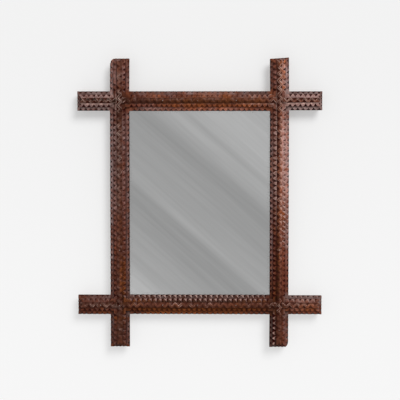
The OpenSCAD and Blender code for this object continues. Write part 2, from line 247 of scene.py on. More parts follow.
# ---------------------------------------------------------------- shading
class Sock:
    """A node's output that takes part in sums: each operator adds one Math node to its tree."""

    def __init__(self, tree, out):
        self.tree, self.out = tree, out

    def math(self, operation, *values, clamp=False):
        return self.tree.node("ShaderNodeMath", {"operation": operation, "use_clamp": clamp},
                              dict(enumerate(values)))

    def __add__(self, other):
        return self.math("ADD", self, other)

    def __sub__(self, other):
        return self.math("SUBTRACT", self, other)

    def __rsub__(self, other):
        return self.math("SUBTRACT", other, self)

    def __mul__(self, other):
        return self.math("MULTIPLY", self, other)

    def __truediv__(self, other):
        return self.math("DIVIDE", self, other)

    def clip(self):
        return self.math("ADD", self, 0.0, clamp=True)

    __radd__ = __add__


class Finish:
    """A node tree, of a material or of the world, and the means to add nodes to it."""

    def __init__(self, owner):
        owner.use_nodes = True
        self.owner, self.tree = owner, owner.node_tree
        self.tree.nodes.clear()

    def node(self, kind, settings=None, inputs=None, output=0):
        """Adds a node: its settings first, then the values or links of its sockets."""
        made = self.tree.nodes.new(kind)
        for key, value in (settings or {}).items():
            if key == "stops":
                ramp = made.color_ramp.elements
                while len(ramp) < len(value):
                    ramp.new(0.5)
                for element, (place, colour) in zip(ramp, value):
                    element.position, element.color = place, (*colour, 1.0)
            elif key == "easing":
                made.color_ramp.interpolation = value
            else:
                setattr(made, key, value)
        for key, value in (inputs or {}).items():
            if isinstance(value, Sock):
                self.tree.links.new(value.out, made.inputs[key])
            else:
                made.inputs[key].default_value = value
        return Sock(self, made.outputs[output]) if made.outputs else None

    def own(self, name, output="Fac"):
        """One of the piece's own attributes."""
        return self.node("ShaderNodeAttribute", {"attribute_name": name}, output=output)

    def place(self):
        """The piece's own coordinates, in metres."""
        return self.node("ShaderNodeTexCoord", output="Object")

    def normal(self):
        """The way the surface faces."""
        return self.node("ShaderNodeNewGeometry", output="Normal")

    def parts(self, vector, *axes):
        """The parts of a vector along some of its axes."""
        return [self.node("ShaderNodeSeparateXYZ", {}, {0: vector}, output=k) for k in axes]

    def stretch(self, vector, scale):
        """A vector times a scale along each axis."""
        return self.node("ShaderNodeVectorMath", {"operation": "MULTIPLY"}, {0: vector, 1: scale})

    def noise(self, vector, scale, detail, roughness, distortion=0.0):
        """Cloudy noise from about 0.2 to 0.8."""
        return self.node("ShaderNodeTexNoise", {},
                         {"Vector": vector, "Scale": scale, "Detail": detail,
                          "Roughness": roughness, "Distortion": distortion})

    def ramp(self, value, low, high):
        """0 below low, 1 above high and smooth between."""
        return self.node("ShaderNodeMapRange", {"interpolation_type": "SMOOTHSTEP"},
                         {"Value": value, "From Min": low, "From Max": high})

    def between(self, value, start, full, past, end):
        """1 from full to past, falling smoothly to 0 at start and at end."""
        return self.ramp(value, start, full) * self.ramp(0.0 - value, -end, -past)

    def mix(self, share, a, b, mode="MIX"):
        """A share of colour b over colour a."""
        full = [(*c, 1.0) if isinstance(c, tuple) and len(c) == 3 else c for c in (a, b)]
        return self.node("ShaderNodeMix", {"data_type": "RGBA", "blend_type": mode},
                         {0: share, 6: full[0], 7: full[1]}, output=2)

    def grey(self, value):
        """A value as a colour."""
        return self.node("ShaderNodeCombineColor", {}, {0: value, 1: value, 2: value})

    def bump(self, height, strength, depth):
        """The surface's normal, tilted as a fine relief of the given depth would."""
        return self.node("ShaderNodeBump", {},
                         {"Height": height, "Strength": strength, "Distance": depth})

    def surface(self, **inputs):
        """Ends the tree with one principled surface."""
        keys = {key.replace("_", " "): value for key, value in inputs.items()}
        keys = {("Specular IOR Level" if k == "Specular" else k): v for k, v in keys.items()}
        self.end(self.node("ShaderNodeBsdfPrincipled", {}, keys))
        return self.owner

    def end(self, shader, kind="ShaderNodeOutputMaterial"):
        """Ends the tree with the given shader."""
        self.node(kind, {}, {"Surface": shader})


def new_finish(name):
    """The empty node tree of a new material."""
    return Finish(bpy.data.materials.new(name))


def times(colour, share):
    """A colour made lighter or darker."""
    return tuple(share * c for c in colour)


HIGHLIGHT_FACING = (0.5, -0.62, 0.6)   # the way the facets face that get a painted highlight: towards the key lamp
# Where the painted glint on the step beside the ridge, and the dark line of grime and painted
# contact shade beside the middle layer, lie, in metres across the member: each begins, is full, is
# full still, ends.
GLINT_STEP = (-0.0080, -0.0062, -0.0051, -0.0046)
DIRT_AND_SHADE_LINE = (0.0105, 0.0112, 0.0132, 0.0146)


def carved_wood(name, brown, orange, dusty, deep, bare, thick):
    """Old stained and shellacked box wood with chip carving. It reads the strip's own lay (along,
    across, height), its patina and painted light, and which faces are knife cuts or worn arrises.
    Stain and grain come first, then bare teeth, the dark of the cuts with painted shade, a painted
    highlight on the facets that face the lamp, a painted glint on the step beside the ridge, a dark
    line of grime and painted contact shade, rubbed arrises with a painted edge highlight, and small
    pits."""
    f = new_finish(name)
    lay = f.own("lay", "Vector")
    here = f.place()
    fibre = f.noise(f.stretch(lay, (18.0, 420.0, 420.0)), 1.0, 4.0, 0.6)
    band = f.noise(f.stretch(lay, (4.0, 95.0, 95.0)), 1.0, 3.0, 0.5, 0.4)
    cloud = f.noise(here, 24.0, 3.0, 0.6)
    speck = f.noise(here, 190.0, 3.0, 0.65)
    rub = f.noise(here, 75.0, 3.0, 0.6)
    tone = f.own("tone")
    warm = f.ramp(f.own("warm") + (cloud - 0.5) * 1.6, 0.1, 0.9)
    dust = f.ramp(f.own("dust") * (1.0 + (rub - 0.5) * 2.2) + (rub - 0.5) * 0.4, 0.06, 0.9)
    colour = f.mix(warm, brown, orange)
    colour = f.mix(dust * 0.9, colour, dusty)
    streak = f.ramp(fibre * 0.6 + band * 0.6, 0.4, 0.8)
    mottle = 0.8 + f.ramp(speck, 0.36, 0.64) * 0.4
    colour = f.mix(1.0, colour, f.grey((0.55 + streak * 0.75) * mottle * tone), "MULTIPLY")
    side, height = f.parts(lay, 1, 2)
    grime = f.ramp(1.0 - height / thick, 0.0, 0.9)
    cut = f.own("cut")
    patchy = f.ramp(rub, 0.36, 0.64)
    uneven = 0.65 + patchy * 0.6
    # The dark of the knife cuts: stain, deeper towards the bottom of a cut, and painted shade
    # through the lit attribute: lit above 0 lightens the cuts where the lamp falls, below 0 darkens
    # them more.
    shade = cut * (0.75 + grime * 0.3 + (speck - 0.5) * 0.4) * uneven
    shade = (shade * (1.0 - f.own("lit") * 0.7)).clip()
    teeth = f.own("teeth") * (0.45 + patchy * 0.75)
    colour = f.mix((teeth * (1.0 - cut)).clip(), colour, bare)
    colour = f.mix(shade, colour, deep)
    # Painted highlight: facets that face the key lamp are paled towards bare wood, as the lamp's
    # sheen would light them.
    facing = f.node("ShaderNodeVectorMath", {"operation": "DOT_PRODUCT"},
                    {0: f.normal(), 1: HIGHLIGHT_FACING}, output=1)
    pale = f.ramp(facing, 0.72, 0.98) * (f.own("pale") + (rub - 0.5) * 0.6).clip()
    colour = f.mix(pale * (1.0 - grime * 0.3), colour, bare)
    # Painted glint: a light line on the step beside the ridge, lighter than bare wood so that it
    # shows through the ridge's shadow.
    step = f.between(side, *GLINT_STEP) * f.own("worn")
    colour = f.mix(step * (1.0 - cut) * (0.45 + patchy * 0.5), colour, times(bare, 1.6))
    # A dark line on the lower layer beside the middle layer's edge: grime, and painted contact
    # shade in the crease between the layers.
    dirt = f.between(side, *DIRT_AND_SHADE_LINE) * f.own("dirt")
    colour = f.mix(dirt * (0.6 + patchy * 0.4), colour, deep)
    # Rubbed arrises, paler where the rub noise is high, and a painted edge highlight where the
    # crest attribute is raised, most on the sunny halves.
    line = f.own("arris") * f.ramp(rub * 0.6 + speck * 0.5 + f.own("crest") * 0.35, 0.58, 0.82)
    colour = f.mix(line * 0.8, colour, bare)
    pit = f.ramp(speck, 0.62, 0.75)
    colour = f.mix(pit * 0.4, colour, deep)
    rough = 0.4 + speck * 0.22 + cut * 0.12 + dust * 0.12
    relief = f.bump(fibre * 0.7 + speck * 0.5 + band * 0.5, 0.35, 0.0006)
    return f.surface(Base_Color=colour, Roughness=rough.clip(), Normal=relief, Specular=0.05)


def plain_wood(name, pale, dark, along, stain=None):
    """Unfinished board: long growth lines along one axis, darker late wood, dirt and a few dark
    flecks. Where a stain is given, it covers what faces away from the back."""
    f = new_finish(name)
    here = f.place()
    fine = [380.0, 380.0, 380.0]
    broad = [60.0, 60.0, 60.0]
    fine[along], broad[along] = 9.0, 1.6
    fibre = f.noise(f.stretch(here, tuple(fine)), 1.0, 4.0, 0.6)
    growth = f.noise(f.stretch(here, tuple(broad)), 1.0, 3.0, 0.45, 0.6)
    cloud = f.noise(here, 14.0, 4.0, 0.6)
    speck = f.noise(here, 240.0, 2.0, 0.6)
    lines = f.ramp(growth * 0.75 + fibre * 0.45, 0.45, 0.75)
    colour = f.mix(lines, dark, pale)
    colour = f.mix(f.ramp(cloud, 0.5, 0.75) * 0.55, colour, times(dark, 0.55))
    colour = f.mix(f.ramp(speck, 0.66, 0.74) * 0.6, colour, times(dark, 0.3))
    if stain is not None:
        backward, = f.parts(f.normal(), 1)
        cover = f.ramp(0.6 - backward + (cloud - 0.5) * 0.5, 0.2, 0.5)
        colour = f.mix(cover, colour, f.mix(lines, times(stain, 0.5), stain))
    relief = f.bump(fibre * 0.8 + growth * 0.4, 0.4, 0.0006)
    return f.surface(Base_Color=colour, Roughness=(0.62 + fibre * 0.22).clip(), Normal=relief)


def old_metal(name, bright, tarnish, rough, amount):
    """Metal under tarnish: cloudy patches and fine specks of a dull skin over the bare metal."""
    f = new_finish(name)
    here = f.place()
    patch = f.noise(here, 160.0, 4.0, 0.62)
    speck = f.noise(here, 900.0, 3.0, 0.6)
    skin = f.ramp(patch * 0.7 + speck * 0.4 + amount, 0.5, 0.85)
    colour = f.mix(skin, bright, tarnish)
    relief = f.bump(speck * 0.7 + patch * 0.5, 0.25, 0.0003)
    return f.surface(Base_Color=colour, Metallic=(1.0 - skin * 0.55).clip(),
                     Roughness=(rough + skin * 0.3 + speck * 0.1).clip(), Normal=relief)


def silvered_glass(name, low, high):
    """Mirror glass with old silvering: clear over most of it, with a faint foxed edge. Low and high
    are the corners of the glass."""
    f = new_finish(name)
    here = f.place()
    x, z = f.parts(here, 0, 2)
    centre, half = (low + high) / 2, (high - low) / 2
    side = half.x - x.math("ABSOLUTE", x - centre.x)
    end = half.z - z.math("ABSOLUTE", z - centre.z)
    rim = side.math("MINIMUM", side, end)
    cloud = f.noise(here, 55.0, 4.0, 0.65)
    speck = f.noise(here, 420.0, 2.0, 0.5)
    fox = (1.0 - f.ramp(rim + (cloud - 0.5) * 0.012, 0.004, 0.013)) * f.ramp(speck, 0.45, 0.7)
    colour = f.mix(fox * 0.5, (0.93, 0.935, 0.935), (0.34, 0.33, 0.30))
    return f.surface(Base_Color=colour, Metallic=1.0, Roughness=(0.015 + fox * 0.2).clip())


# ---------------------------------------------------------------- the notched strips
# The soft spots of the patina: the middle (x, z, from the middle of the opening) and the reach each
# way of every spot, in millimetres.
SPOTS = {
    "left_arm": (-206, 204, 44, 22), "right_arm": (206, 204, 44, 22),
    "left_tip": (-159, 255, 22, 34), "right_tip": (159, 255, 22, 34),
    "left_foot": (-159, -258, 22, 34), "right_foot": (159, -258, 22, 34),
    "low_left": (-206, -204, 44, 24), "low_right": (206, -204, 44, 24),
    "left_stile": (-159, 0, 22, 215), "left_high": (-159, 90, 22, 115),
    "left_top": (-159, 150, 22, 45), "left_belt": (-159, 35, 22, 80),
    "left_low": (-159, -150, 22, 145), "left_knee": (-159, -150, 22, 45),
    "right_stile": (159, 40, 22, 160), "right_high": (159, 95, 22, 100),
    "right_upper": (159, 80, 22, 112), "right_low": (159, -125, 22, 75),
    "top_rail": (0, 204, 138, 26), "top_start": (-105, 204, 34, 26),
    "top_end": (112, 204, 34, 26), "low_rail": (0, -204, 138, 26),
    "left_cross": (-159, 204, 24, 26), "right_cross": (159, 204, 24, 26),
    "left_base": (-159, -204, 24, 26), "right_base": (159, -204, 24, 26),
    "left_neck": (-159, 170, 22, 26),
}
# For each layer and each quality of its finish, some of them painted light or shade: the base, and
# how much every spot adds on which half or rim of the member.
PATINA = {}
PATINA["lower"] = {
    "tone": (0.93, {
        "right_high sunny": 1.65, "right_stile sunny": 0.6, "right_tip sunny": 1.3,
        "left_tip all": 0.35, "left_tip under": 0.65, "right_stile under": 0.5,
        "left_stile under": 0.5, "left_high under": 0.4, "top_rail under": 1.22,
        "left_arm under": 1.05, "right_arm under": 1.35, "right_arm all": 0.1,
        "low_rail sunny": -0.4, "low_right all": 0.2, "top_rail all": 0.2, "left_stile sunny": 0.5,
        "left_foot sunny": 0.35, "right_low under": 0.05, "right_foot under": 0.05,
        "right_tip under": 0.15, "right_foot sunny": 0.3, "low_right under": 0.55,
        "right_foot low_rim": -0.5, "low_rail under": 0.15, "left_foot all": 0.05,
        "left_low under": -0.15, "low_left sunny": 0.03, "low_right sunny": -0.15,
        "left_cross all": -0.3, "right_cross all": -0.3, "left_base all": -0.2,
        "right_base all": -0.3, "left_arm all": -0.3, "left_low sunny": 0.15,
        "left_high sunny": 0.2, "right_arm sunny": 0.2, "right_low sunny": 0.35,
    }),
    "warm": (0.2, {
        "top_rail all": 0.2, "left_low sunny": 0.2, "left_arm all": -0.5, "right_arm all": -0.5,
        "low_rail under": 0.6, "right_low sunny": -0.4,
    }),
    "dust": (0.1, {
        "left_arm all": 0.8, "right_arm all": 0.8, "low_right sunny": 0.7, "low_left sunny": 0.3,
        "low_rail sunny": 0.4, "top_rail all": 0.4, "left_stile all": 0.5, "left_high under": 0.25,
        "right_stile all": 0.4, "right_tip sunny": 0.7, "left_tip all": 0.3, "low_rail under": -0.2,
        "right_low under": 0.15, "right_foot under": 0.4, "left_foot all": 0.3,
        "right_tip under": 0.25, "right_high sunny": 0.15, "right_foot sunny": 0.2,
        "top_rail under": -0.25, "top_start under": 0.25, "top_end sunny": 0.2,
        "left_cross all": -0.4, "right_cross all": -0.3, "right_base all": -0.2,
        "left_tip under": 0.3,
    }),
    "pale": (0.05, {
        "right_stile sunny": 0.7, "low_rail sunny": 0.7, "low_right sunny": 0.4,
        "right_foot under": 0.3, "right_low sunny": -0.35,
    }),
    "lit": (0, {
        "right_stile sunny": 0.3, "right_tip under": 0.7, "left_tip all": 0.7, "top_rail all": 0.7,
        "right_foot under": -0.9, "left_arm all": -0.5, "right_arm all": -0.3,
        "low_rail sunny": -0.3,
    }),
    "worn": (0, {}),
    "teeth": (0, {
        "right_foot low_rim": 0.1, "low_rail sunny": 0.05, "low_right sunny": 0.2,
        "left_arm all": 0.25, "right_arm all": 0.25,
    }),
    "dirt": (0, {
        "left_stile all": 0.9, "left_tip all": 0.8, "left_foot all": 0.8, "left_top all": 0.1,
    }),
    "crest": (-0.25, {
        "left_arm all": 0.5, "right_arm all": 0.5, "right_tip sunny": 0.8, "right_stile sunny": 1,
        "low_rail sunny": 0.4,
    }),
}
PATINA["middle"] = {
    "tone": (0.93, {
        "right_high sunny": 0.7, "right_stile sunny": 0.6, "right_tip sunny": 0.9,
        "right_tip under": 0.5, "right_upper under": 0.05, "right_arm all": 0.35,
        "left_arm all": 0.25, "low_right all": 0.5, "left_tip all": 0.35, "low_rail all": -0.15,
        "low_rail under": -0.38, "low_rail sunny": -0.68, "low_left all": 0.25,
        "top_rail all": 0.15, "top_end under": 0.5, "left_belt low_rim": 0.35,
        "left_low low_rim": 0.1, "right_low low_rim": 0.45, "right_low under": -0.05,
        "right_foot low_rim": 0.4, "right_foot high_rim": 0.45, "left_low all": -0.1,
        "top_rail under": 0.1, "low_rail low_rim": 0.3, "low_right low_rim": 0.2,
        "right_foot under": -0.5, "left_foot all": -0.3, "left_belt sunny": -0.2,
        "left_low high_rim": 0.5, "left_arm low_rim": -0.5, "right_arm low_rim": -0.1,
        "left_knee sunny": -0.2, "right_high high_rim": -0.5, "top_start sunny": 0.2,
        "left_low under": 0.2, "left_tip high_rim": 0.8, "low_right sunny": -0.1,
        "left_cross all": -0.35, "right_cross all": -0.25, "left_base all": -0.3,
        "right_base all": -0.4, "left_high under": -0.12, "left_high sunny": 0.3,
        "left_tip sunny": 0.1, "low_left sunny": -0.12, "left_low sunny": -0.1,
        "low_rail high_rim": 0.12, "left_belt high_rim": 0.2, "left_knee under": -0.2,
        "right_low sunny": 0.4,
    }),
    "warm": (0.2, {
        "top_rail all": 0.2, "left_low sunny": 0.1, "right_tip sunny": 0.65,
        "right_stile sunny": 0.1, "low_rail sunny": 1.2, "low_rail under": 1.2,
        "low_right under": 0.2, "top_start all": -0.3, "left_arm all": -0.4, "right_arm all": -0.4,
        "top_rail under": 0.15, "left_belt sunny": -0.25, "left_knee sunny": 0.5,
        "right_stile high_rim": 0.15, "top_start sunny": 0.25, "right_low sunny": -0.5,
    }),
    "dust": (0.1, {
        "left_arm all": 0.75, "right_arm all": 0.8, "left_high under": 0.45, "left_top sunny": 0.3,
        "top_rail sunny": 0.2, "top_end sunny": 0.15, "right_high sunny": 0.5,
        "right_tip sunny": 0.35, "right_upper under": 0.3, "right_tip under": 0.2,
        "low_left all": 0.05, "left_tip all": 0.3, "left_low all": 0.04, "low_rail under": -0.15,
        "low_right sunny": 0.3, "low_right under": 0.25, "right_low low_rim": 0.25,
        "right_foot high_rim": 0.25, "top_start under": 0.15, "left_foot all": 0.05,
        "left_belt sunny": 0.12, "left_knee sunny": -0.1, "left_low under": 0.07,
        "left_foot low_rim": 0.12, "low_rail sunny": -0.1, "low_left sunny": 0.15,
        "left_cross all": -0.4, "right_cross all": -0.3, "right_base all": -0.15,
        "left_high sunny": 0.12, "right_low under": -0.1,
    }),
    "pale": (0.05, {
        "right_stile sunny": 0.7, "low_rail sunny": 0.03, "low_right sunny": 0.4,
        "right_tip sunny": 0.3, "low_rail high_rim": 0.8, "low_left high_rim": 0.2,
        "right_low sunny": -0.35,
    }),
    "lit": (0, {
        "right_stile sunny": 0.35, "left_stile low_rim": 0.7, "left_stile high_rim": 0.7,
        "right_upper low_rim": 0.85, "top_rail low_rim": 1.1, "top_rail high_rim": 1.1,
        "left_arm under": -1.6, "right_arm under": -0.8, "left_foot all": 0.8,
        "right_foot sunny": 0.8, "right_tip under": 0.7, "left_tip under": 0.7,
        "low_left sunny": 0.4, "low_rail under": 0.5, "low_right under": 0.7,
        "right_foot under": -0.3, "left_arm sunny": -0.5, "right_arm sunny": -0.3,
        "low_rail sunny": -0.7, "left_cross all": -0.9, "right_cross all": -0.6,
        "left_base all": -0.7, "right_base all": -0.6, "left_top under": -0.4,
        "left_neck under": -0.9, "left_neck sunny": -0.3,
    }),
    "worn": (0, {
        "left_arm all": 0.8, "right_arm all": 1, "right_upper under": 0.85, "left_high all": 0.15,
        "top_end all": 0.4, "top_rail under": 0.1,
    }),
    "teeth": (0, {
        "right_foot low_rim": 0.85, "right_arm under": 0.3, "left_arm sunny": 0.2,
        "right_arm sunny": 0.15, "right_upper under": 0.3, "top_end sunny": 0.1,
        "low_rail high_rim": 0.12, "low_right high_rim": 0.2, "right_high sunny": 0.15,
        "left_neck under": 0.08,
    }),
    "dirt": (0, {}),
    "crest": (-0.25, {
        "left_arm all": 1, "right_arm all": 1, "right_stile sunny": 0.8, "right_tip sunny": 0.8,
        "right_upper under": 0.8, "top_end all": 0.65, "low_rail sunny": 0.3, "low_left all": 0.2,
        "right_foot under": 0.3, "left_cross all": 0.1, "right_cross all": 0.15,
        "left_high under": 0.6, "left_high sunny": 0.25,
    }),
}
PATINA["ridge"] = {
    "tone": (0.82, {
        "right_high sunny": 1.15, "right_stile sunny": 0.7, "right_tip sunny": 0.5,
        "right_tip all": 0.1, "low_right all": 0.35, "low_right sunny": 0.3, "top_rail under": -0.5,
        "right_arm under": 0.25, "left_arm all": -0.4, "left_arm sunny": -0.5,
        "right_arm sunny": -0.58, "left_tip all": 0.3, "right_low sunny": 0.8,
        "right_low under": -0.5, "left_stile sunny": -0.25, "left_high under": -0.2,
        "left_low under": 0.05, "top_start under": -0.1, "left_foot all": -0.2,
        "right_tip under": -0.25, "low_left all": -0.1, "left_base all": -0.3,
        "right_base all": -0.4, "left_cross all": -0.25, "right_cross all": -0.2,
        "left_top sunny": 0.15, "left_top under": -0.15, "low_rail all": 0.06,
        "top_end under": 0.12, "right_upper under": 0.35,
    }),
    "warm": (0.2, {
        "top_rail all": 0.2, "left_low sunny": 0.2, "right_stile under": 0.15,
        "top_rail under": 0.3, "top_start under": -0.3, "low_rail all": 0.2, "right_low under": 0.7,
        "left_arm all": -0.4, "right_arm all": -0.4, "left_knee sunny": 0.5,
        "right_tip sunny": 0.65, "right_stile sunny": 0.1, "right_low sunny": -0.5,
    }),
    "dust": (0.07, {
        "left_tip all": 0.2, "low_rail under": -0.07, "left_arm all": 0.1, "right_arm all": 0.1,
        "left_high under": 0.45, "left_high sunny": 0.2, "right_high sunny": 0.2,
        "low_left all": 0.25, "top_rail sunny": 0.2, "left_low under": 0.2, "low_right sunny": 0.3,
        "right_low under": -0.07, "top_end sunny": 0.1, "left_knee sunny": -0.07,
        "low_rail all": 0.1, "left_cross all": -0.25, "right_cross all": -0.2,
        "right_base all": -0.15,
    }),
    "pale": (0.035, {
        "right_stile sunny": 0.6, "right_tip all": 0.45, "right_low sunny": -0.3,
    }),
    "lit": (0, {
        "right_stile sunny": 1.4, "left_stile all": 0.45, "top_rail all": 0.95, "low_rail all": 0.2,
        "left_foot all": 0.9, "right_foot sunny": 0.9, "left_arm all": -0.6, "right_arm all": -0.4,
        "right_stile under": -1.2, "right_tip under": 0.7, "left_cross all": -0.8,
        "right_cross all": -0.8, "left_base all": -0.5, "right_base all": -0.5,
        "left_top under": -0.3, "left_top sunny": 0.5, "left_neck under": -0.5,
    }),
    "worn": (0, {}),
    "teeth": (0, {}),
    "dirt": (0, {}),
    "crest": (-0.25, {
        "left_arm all": 0.6, "right_arm all": 0.65, "right_stile sunny": 0.6, "right_tip all": 0.75,
        "low_right all": 0.4, "low_left all": 0.4, "low_rail all": 0.45, "left_high all": 0.4,
        "top_end all": 0.2, "right_stile under": 0.5, "left_cross all": 0.35,
        "right_cross all": 0.35, "right_base all": 0.3, "left_top under": 0.2,
    }),
}


def patina(layer, x, z, v):
    """How the finish varies over the frame, from the middle of the opening, in millimetres, and v
    across the member, up or to the right: its tone, how orange and how dusty it is, how far its
    sunny facets are paled as a painted highlight, how little its cuts are darkened as painted
    shade, how bright the painted glint on the step beside the ridge is, how bare the teeth between
    its cuts are, how dark the line of grime and painted contact shade is, and how rubbed its
    arrises are, with a painted edge highlight. Each is a base plus a few soft spots, a fourth-power
    bell in x and z, on the whole member, on its sunny or under half, or on its low or high rim. The
    tone also rises with height as painted light from above, and its spots on the right stile's
    sunny half are painted light as well."""
    sunny = np.clip((v - SUNNY_START) / SUNNY_RUN, 0, 1)
    halves = {"all": 1.0, "sunny": sunny, "under": 1 - sunny,
              "low_rim": np.clip((-v - RIM_START) / RIM_RUN, 0, 1),
              "high_rim": np.clip((v - RIM_START) / RIM_RUN, 0, 1)}
    bells = {spot: np.exp(-(((x - cx) / rx) ** 4) - ((z - cz) / rz) ** 4)
             for spot, (cx, cz, rx, rz) in SPOTS.items()}
    fields = {}
    for field, (base, added) in PATINA[layer].items():
        terms = [(*where.split(), amount) for where, amount in added.items()]
        fields[field] = base + sum((k * bells[spot] * halves[half] for spot, half, k in terms),
                                   0 * x)
    fields["tone"] = np.maximum(fields["tone"] + TONE_RISE * z, LEAST_TONE)
    return fields


def corner_loss(u, v, half_l, half_w, long, wide, power):
    """Rounds off one corner of a strip: points past a curve between the edge and the tip are drawn
    back to it along the line to the curve's own middle."""
    a, b = (u - (half_l - long)) / long, (v - (half_w - wide)) / wide
    inside = (a > 0) & (b > 0)
    far = np.where(inside, (np.abs(a) ** power + np.abs(b) ** power) ** (1 / power), 0)
    shrink = np.where(far > 1, 1 / np.maximum(far, 1e-9), 1)
    return (np.where(inside, half_l - long + a * long * shrink, u),
            np.where(inside, half_w - wide + b * wide * shrink, v))


def faint_notches(x):
    """How much is left of the depth of the notches near the left stile's upper tip: all of it, less
    a fourth-power bell."""
    return 1 - FAINT_SHARE * np.exp(-(((x - FAINT_PLACE) / FAINT_REACH) ** 4))


def near_ends(u, half_l, run):
    """How near a point is to a strip's low or left end, and to its other end: 1 at the end, falling
    evenly to 0 at the given run from it."""
    return np.clip((run - half_l - u) / run, 0, 1), np.clip((u - half_l + run) / run, 0, 1)


def notched_strip(layer, part, material, seed):
    """The strip of one layer on one member, in place of its solid: the notched surface with its
    corners lost, its ends drawn longer and its horns leaning, and the patina at every point."""
    node = f"{layer}_{part}"
    cut = LAYERS[layer]
    rng = np.random.default_rng(seed)
    low, high = (np.array(c) * 1000 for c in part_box(node))
    middle, size = (low + high) / 2, high - low
    upright = part.endswith("stile")
    side = -1 if "left" in part else 1
    along = np.array([0, 0, 1.0]) if upright else np.array([1.0, 0, 0])
    across = np.array([side, 0, 0.0]) if upright else np.array([0, 0, 1.0])
    length, width = (size[2], size[0]) if upright else (size[0], size[2])
    thick = size[1]
    butted = upright and layer != "ridge"
    plain = [(c, width / 2) for c in (-CROSSING, CROSSING)] if butted else []
    end = part.split("_")[-1]
    fade = faint_notches if part == "left_stile" and layer != "lower" else None
    reach = [cut["cut"] * k for k in DEEPER.get(node, (1.0, 1.0))]
    rows = [knife_row(rng, length, cut["pitch"], reach[0], thick, plain, fade),
            knife_row(rng, length, cut["pitch"], reach[1], thick, plain, None, layer == "ridge")]
    ends = {"stile": (True, True), "rail": (False, False), "horn": (side < 0, side > 0)}[end]
    tips = [knife_row(rng, width, TIP_PITCH, TIP_CUT, thick) if e else no_row(thick) for e in ends]
    first, second = EDGES.get(node, cut["edges"])
    width, middle = width + first + second, middle + across * (second - first) / 2
    (left_in, left_out), (right_in, right_out) = (EDGES.get(f"{layer}_{s}_stile", cut["edges"])
                                                  for s in ("left", "right"))
    butt = {"stile": (0.0, 0.0), "rail": (left_in, right_in),
            "horn": (0.0, left_out) if side < 0 else (right_out, 0.0)}[end]
    length, middle = length - sum(butt), middle + along * (butt[0] - butt[1]) / 2
    (u, v, h), is_cut, is_arris = strip_surface(rng, length, width, thick, rows, tips, cut["arris"])
    half_l, half_w = length / 2, width / 2
    if node == "lower_left_stile":
        u, v = corner_loss(u, v, half_l, half_w, *ROUNDED_CORNER)
    if node == "lower_right_stile":
        down, v = corner_loss(-u, v, half_l, half_w, *CHIPPED_CORNER)
        u = -down
        u = u - OUT_OF_SQUARE * (half_w - v) / width * near_ends(u, half_l, TIP_RUN)[1]
    more = LONGER.get(part, (0.0, 0.0))
    near_low, near_high = near_ends(u, half_l, TIP_RUN)
    u = u + more[1] * near_high - more[0] * near_low
    lean = LEAN.get(part, (0.0, 0.0))
    near_low, near_high = near_ends(u, half_l, LEAN_RUN)
    bent = v - lean[1] * near_high - lean[0] * near_low
    points = (middle + np.array([0, thick / 2, 0]) + u[..., None] * along + bent[..., None] * across
              - h[..., None] * np.array([0, 1.0, 0])).reshape(-1, 3)
    turned = np.dot(np.cross(along, across), (0, -1.0, 0)) < 0
    face = v.ravel() * (side if upright else 1)
    fields = patina(layer, points[:, 0], points[:, 2] - MIDDLE_Z, face)
    fields["tone"] = fields["tone"] * rng.uniform(*STRIP_TONES)
    lay = np.stack([u.ravel() + rng.uniform(0, GRAIN_SHIFT), face, h.ravel()], 1) / 1000
    piece = make_piece(f"carved_{node}", points / 1000, closed_quads(*u.shape, turned), material,
                       {"lay": lay, **fields},
                       {"cut": is_cut.ravel(), "arris": is_arris.ravel()})
    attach(piece, "frame")
    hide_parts(node)


# Each layer's brown, orange, dusty, deep and bare colours, and its thickness in metres.
WOODS = {
    "lower": carved_wood("lower_wood_stained", (0.105, 0.031, 0.018), (0.23, 0.062, 0.016),
                         (0.185, 0.128, 0.123), (0.028, 0.005, 0.003), (0.50, 0.33, 0.29), 0.006),
    "middle": carved_wood("middle_wood_stained", (0.115, 0.031, 0.016), (0.23, 0.062, 0.015),
                          (0.25, 0.152, 0.141), (0.040, 0.005, 0.004), (0.50, 0.32, 0.275), 0.006),
    "ridge": carved_wood("ridge_wood_stained", (0.118, 0.038, 0.022), (0.20, 0.058, 0.018),
                         (0.20, 0.127, 0.108), (0.050, 0.011, 0.006), (0.50, 0.32, 0.265), 0.005),
}
for number, (layer, part) in enumerate((a, b) for a in LAYERS for b in LENGTHS):
    notched_strip(layer, part, WOODS[layer], FIRST_SEED + number)


# ---------------------------------------------------------------- brads through the layers
BRAD_CELL, BRAD_NEAR = 0.004, 0.003   # metres: how points of one brad are gathered and joined
# Radius and height above the brad's top, in metres, from the domed head down to the point.
BRAD_PROFILE = np.array([(0, 0.00032), (0.0004, 0.00028), (0.00078, 0.00012), (0.00088, -0.0001),
                         (0.00075, -0.0003), (0.00075, -0.0255), (0.0, -0.0279)])


def turned_brads(places, profile, around=14):
    """Round brads: a profile of (radius, height) turned about each place's own axis, which points
    out of the face, all of them in one mesh."""
    angle = np.arange(around) * 2 * np.pi / around
    radius, height = profile.T
    ring = np.stack([radius[:, None] * np.cos(angle), np.repeat(-height[:, None], around, 1),
                     radius[:, None] * np.sin(angle)], -1)
    points = places[:, None, None] + ring[None]
    faces = closed_quads(len(profile), around)
    steps = np.arange(len(places))[:, None, None] * len(profile) * around
    return points.reshape(-1, 3), (faces[None] + steps).reshape(-1, 4)


